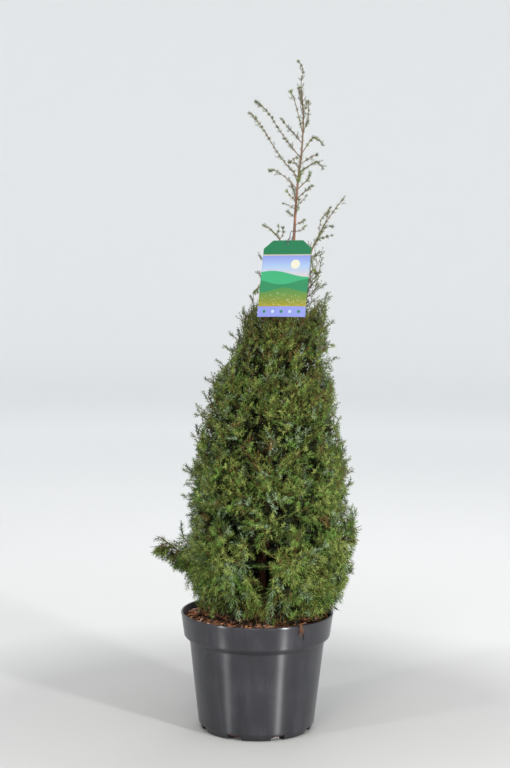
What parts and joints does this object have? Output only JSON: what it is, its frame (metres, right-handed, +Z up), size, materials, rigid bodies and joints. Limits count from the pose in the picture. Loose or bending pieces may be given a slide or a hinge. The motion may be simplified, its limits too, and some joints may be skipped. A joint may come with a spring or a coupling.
{
  "type": "potted common juniper",
  "caption": "Young upright common juniper with a dense cone of needles, a thin open leader and a plain label, in a round nursery pot.",
  "frame": {"origin": "middle of the pot's flat underside, on the surface it stands on", "axes": "+Z up; the front of the plant, with its label, faces -Y; the crown leans towards +X as it rises"},
  "size_m": [0.4062, 0.3143, 1.3223],
  "materials": {
    "pot": "satin moulded",
    "soil": "loose bark and coir",
    "bark": "rough",
    "foliage": "matt needles",
    "tag": "printed, smooth",
    "tie": "plain"
  },
  "bodies": {
    "root": {"bough_low_1": "bark", "bough_low_2": "bark", "bough_low_3": "bark", "bough_low_4": "bark", "bough_low_5": "bark", "bough_low_6": "bark", "bough_middle_1": "bark", "bough_middle_2": "bark", "bough_middle_3": "bark", "bough_middle_4": "bark", "bough_middle_5": "bark", "bough_side_leader": "bark", "bough_upper_1": "bark", "bough_upper_2": "bark", "bough_upper_3": "bark", "bough_upper_4": "bark", "foliage_low_1": "foliage", "foliage_low_2": "foliage", "foliage_low_3": "foliage", "foliage_low_4": "foliage", "foliage_low_5": "foliage", "foliage_low_6": "foliage", "foliage_middle_1": "foliage", "foliage_middle_2": "foliage", "foliage_middle_3": "foliage", "foliage_middle_4": "foliage", "foliage_middle_5": "foliage", "foliage_neck_1": "foliage", "foliage_neck_2": "foliage", "foliage_neck_3": "foliage", "foliage_shoulder_1": "foliage", "foliage_shoulder_2": "foliage", "foliage_shoulder_3": "foliage", "foliage_shoulder_4": "foliage", "foliage_upper_1": "foliage", "foliage_upper_2": "foliage", "foliage_upper_3": "foliage", "foliage_upper_4": "foliage", "pot": "pot", "shoot_back": "foliage", "shoot_front": "foliage", "shoot_left_back": "foliage", "shoot_left_high": "foliage", "shoot_left_long": "foliage", "shoot_left_low": "foliage", "shoot_left_stem": "foliage", "shoot_left_top": "foliage", "shoot_right_arch": "foliage", "shoot_right_back": "foliage", "shoot_right_foot": "foliage", "shoot_right_low": "foliage", "shoot_right_middle": "foliage", "shoot_right_top": "foliage", "shoot_side_leader": "foliage", "shoot_tip": "foliage", "soil": "soil", "tag_card": "tag", "tag_tie": "tie", "trunk": "bark"}
  },
  "joints": []
}
